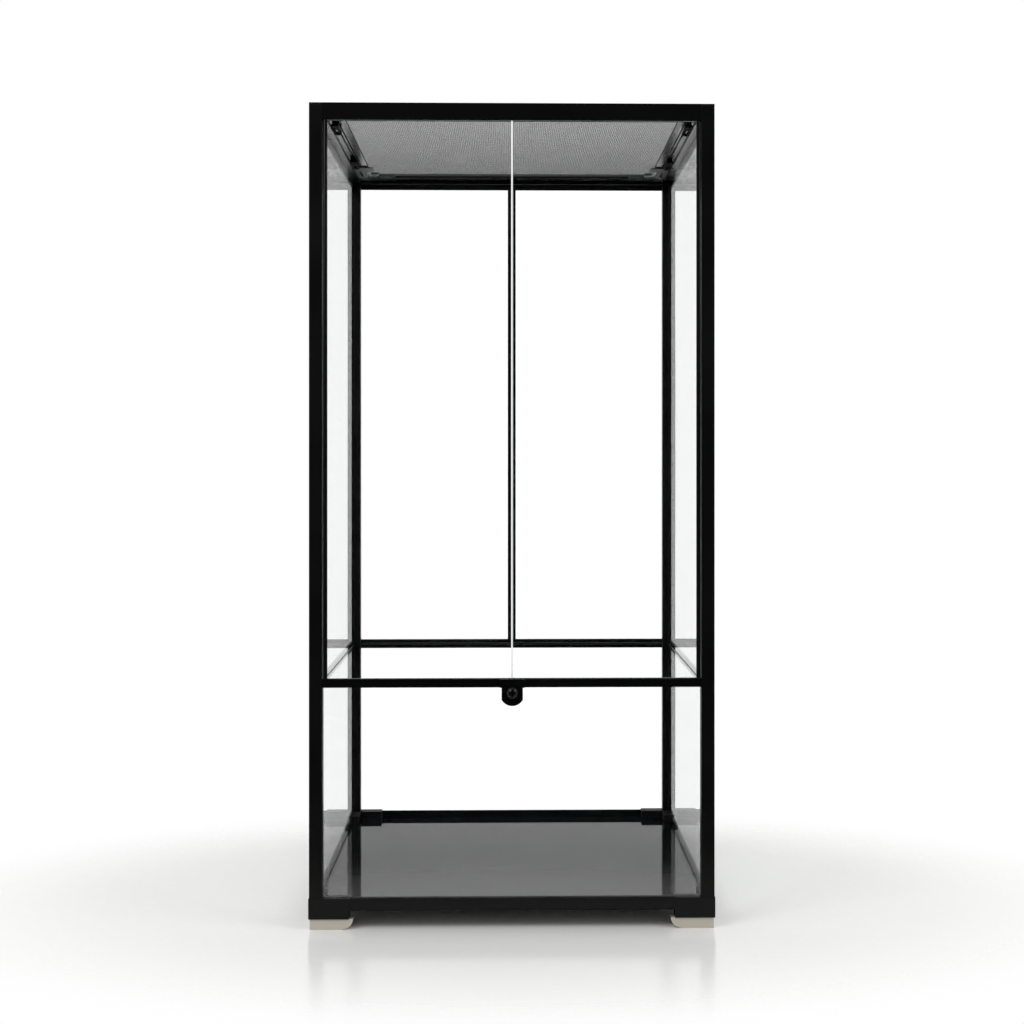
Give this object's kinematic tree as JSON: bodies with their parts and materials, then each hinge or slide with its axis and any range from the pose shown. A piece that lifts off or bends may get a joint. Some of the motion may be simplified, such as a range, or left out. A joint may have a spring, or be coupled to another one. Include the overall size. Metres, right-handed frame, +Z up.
{
  "type": "reptile terrarium",
  "caption": "Tall knock-down glass terrarium on corner feet, with hinged front doors, a turn lock on the sill and a lift-off woven-wire screen cover with cable ports",
  "frame": {"origin": "Middle of the footprint, on the floor under the feet. The lock knob stands 13 mm proud of the front, so the middle of the overall box lies 6 mm nearer the front than the origin.", "axes": "+Z up, +X to the right seen from the front, +Y to the rear. The doors and the lock face -Y."},
  "size_m": [0.614, 0.6267, 1.246],
  "materials": {
    "frame_metal": "satin black powder coat over an extrusion",
    "black_plastic": "fine satin moulding",
    "foot_plastic": "matte cream",
    "bushing_plastic": "smooth off-white",
    "glass": "clear with ground edges",
    "clear_plastic": "milky clear",
    "floor_sheet": "gloss black",
    "mesh": "woven wire",
    "rubber": "matte",
    "steel": "plated"
  },
  "bodies": {
    "cabinet": {"post_front_left": "frame_metal", "post_front_right": "frame_metal", "post_rear_left": "frame_metal", "post_rear_right": "frame_metal", "top_rail_front": "frame_metal", "top_rail_rear": "frame_metal", "top_rail_left": "frame_metal", "top_rail_right": "frame_metal", "mid_rail_front": "frame_metal", "mid_rail_rear": "frame_metal", "mid_rail_left": "frame_metal", "mid_rail_right": "frame_metal", "base_rail_front": "frame_metal", "base_rail_rear": "frame_metal", "base_rail_left": "frame_metal", "base_rail_right": "frame_metal", "corner_block_front_left": "black_plastic", "corner_block_front_right": "black_plastic", "corner_block_rear_left": "black_plastic", "corner_block_rear_right": "black_plastic", "post_caps": "black_plastic", "frame_screws": "steel", "foot_pads": "foot_plastic", "rear_mullion": "frame_metal", "floor_panel": "floor_sheet", "glass_front_lower": "glass", "glass_rear_lower": "glass", "glass_rear_upper_left": "glass", "glass_rear_upper_right": "glass", "glass_left_lower": "glass", "glass_left_upper": "glass", "glass_right_lower": "glass", "glass_right_upper": "glass", "door_bushings": "bushing_plastic", "lock_housing": "black_plastic"},
    "left_door": {"door_glass_left": "glass", "door_hinge_profile_left": "frame_metal", "door_pins_left": "steel", "door_seal": "clear_plastic"},
    "right_door": {"door_glass_right": "glass", "door_hinge_profile_right": "frame_metal", "door_pins_right": "steel"},
    "cover": {"cover_rail_front": "frame_metal", "cover_rail_rear": "frame_metal", "cover_rail_left": "frame_metal", "cover_rail_right": "frame_metal", "cover_corner_front_left": "black_plastic", "cover_corner_front_right": "black_plastic", "cover_corner_rear_left": "black_plastic", "cover_corner_rear_right": "black_plastic", "cover_mesh": "mesh", "cover_spline": "rubber"},
    "lock_tongue": {"lock_tongue": "black_plastic"},
    "lock_knob": {"lock_knob": "black_plastic"},
    "cover_latch_front_left": {"cover_latch_front_left": "black_plastic"},
    "cover_latch_front_right": {"cover_latch_front_right": "black_plastic"},
    "cover_latch_rear_left": {"cover_latch_rear_left": "black_plastic"},
    "cover_latch_rear_right": {"cover_latch_rear_right": "black_plastic"},
    "cable_shutter_left": {"cable_shutter_left": "black_plastic"},
    "cable_shutter_right": {"cable_shutter_right": "black_plastic"}
  },
  "joints": [
    {"name": "left_door_hinge", "type": "hinge", "parent": "cabinet", "child": "left_door", "pos_m": [-0.2821, -0.3022, 0.8], "axis": [0, 0, -1], "range_deg": [0, 105]},
    {"name": "right_door_hinge", "type": "hinge", "parent": "cabinet", "child": "right_door", "pos_m": [0.2821, -0.3022, 0.8], "axis": [0, 0, 1], "range_deg": [0, 105]},
    {"name": "lock_knob_turn", "type": "hinge", "parent": "cabinet", "child": "lock_knob", "pos_m": [0, -0.313, 0.3571], "axis": [0, -1, 0], "range_deg": [0, 90]},
    {"name": "lock_tongue_slide", "type": "slide", "parent": "cabinet", "child": "lock_tongue", "axis": [0, 0, 1], "range_m": [0, 0.004]},
    {"name": "cover_lift", "type": "slide", "parent": "cabinet", "child": "cover", "axis": [0, 0, 1], "range_m": [0, 0.3]},
    {"name": "front_left_latch_turn", "type": "hinge", "parent": "cover", "child": "cover_latch_front_left", "pos_m": [-0.278, -0.204, 1.23], "axis": [0, 0, -1], "range_deg": [0, 90]},
    {"name": "rear_left_latch_turn", "type": "hinge", "parent": "cover", "child": "cover_latch_rear_left", "pos_m": [-0.278, 0.084, 1.23], "axis": [0, 0, -1], "range_deg": [0, 90]},
    {"name": "front_right_latch_turn", "type": "hinge", "parent": "cover", "child": "cover_latch_front_right", "pos_m": [0.278, -0.204, 1.23], "axis": [0, 0, 1], "range_deg": [0, 90]},
    {"name": "rear_right_latch_turn", "type": "hinge", "parent": "cover", "child": "cover_latch_rear_right", "pos_m": [0.278, 0.084, 1.23], "axis": [0, 0, 1], "range_deg": [0, 90]},
    {"name": "left_shutter_slide", "type": "slide", "parent": "cover", "child": "cable_shutter_left", "axis": [0, 1, 0], "range_m": [0, 0.046]},
    {"name": "right_shutter_slide", "type": "slide", "parent": "cover", "child": "cable_shutter_right", "axis": [0, 1, 0], "range_m": [0, 0.046]}
  ],
  "couplings": [
    {"joint": "lock_tongue_slide", "follows": "lock_knob_turn", "m_per_rad": 0.0025464}
  ]
}
